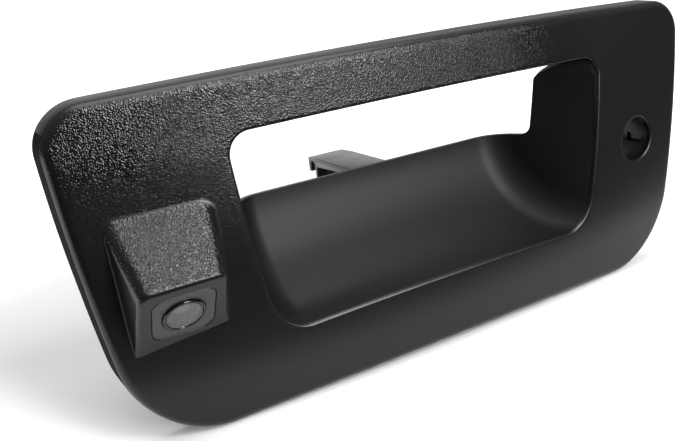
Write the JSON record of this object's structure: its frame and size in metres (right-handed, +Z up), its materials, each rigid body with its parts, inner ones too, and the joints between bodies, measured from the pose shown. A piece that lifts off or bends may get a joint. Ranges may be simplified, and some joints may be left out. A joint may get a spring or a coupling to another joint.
{
  "type": "tailgate handle bezel with backup camera",
  "caption": "Moulded bezel for a tailgate handle, with a hand cup, a lock hole, a rear arm and a small camera that looks down from a wedge on its face.",
  "frame": {"origin": "middle of the bezel on the plane its rear rim touches at the centre line, where it seats on the tailgate", "axes": "+X across the bezel to the right as seen from outside, +Y from the face into the tailgate, +Z up"},
  "size_m": [0.3422, 0.1379, 0.152],
  "materials": {
    "bezel_plastic": "coarse moulded grain",
    "camera_plastic": "fine spark-eroded",
    "ring_gloss": "polished",
    "window_glass": "clear",
    "lens_glass": "coated",
    "filter_glass": "coated",
    "barrel_black": "light-absorbing",
    "sensor_package": "smooth",
    "board_green": "solder mask",
    "chip_black": "moulded",
    "connector_ivory": "moulded",
    "seal_rubber": "moulded",
    "zinc_steel": "zinc plated",
    "spring_steel": "phosphated"
  },
  "bodies": {
    "root": {"handle_bezel": "bezel_plastic", "camera_front_cover": "camera_plastic", "cover_gasket": "seal_rubber", "lens_trim_ring": "ring_gloss", "lens_window": "window_glass", "lens_barrel": "barrel_black", "lens_retainer": "barrel_black", "front_lens": "lens_glass", "lens_spacer": "barrel_black", "middle_lens": "lens_glass", "rear_lens": "lens_glass", "ir_filter": "filter_glass", "lens_holder": "camera_plastic", "sensor_glass": "lens_glass", "image_sensor": "sensor_package", "camera_board": "board_green", "board_components": "chip_black", "board_connector": "connector_ivory", "housing_seal": "seal_rubber", "camera_housing": "camera_plastic", "housing_screws": "zinc_steel", "cable_gland": "seal_rubber", "camera_bracket": "zinc_steel", "bracket_screws": "zinc_steel", "spring_clips": "spring_steel"}
  },
  "joints": []
}
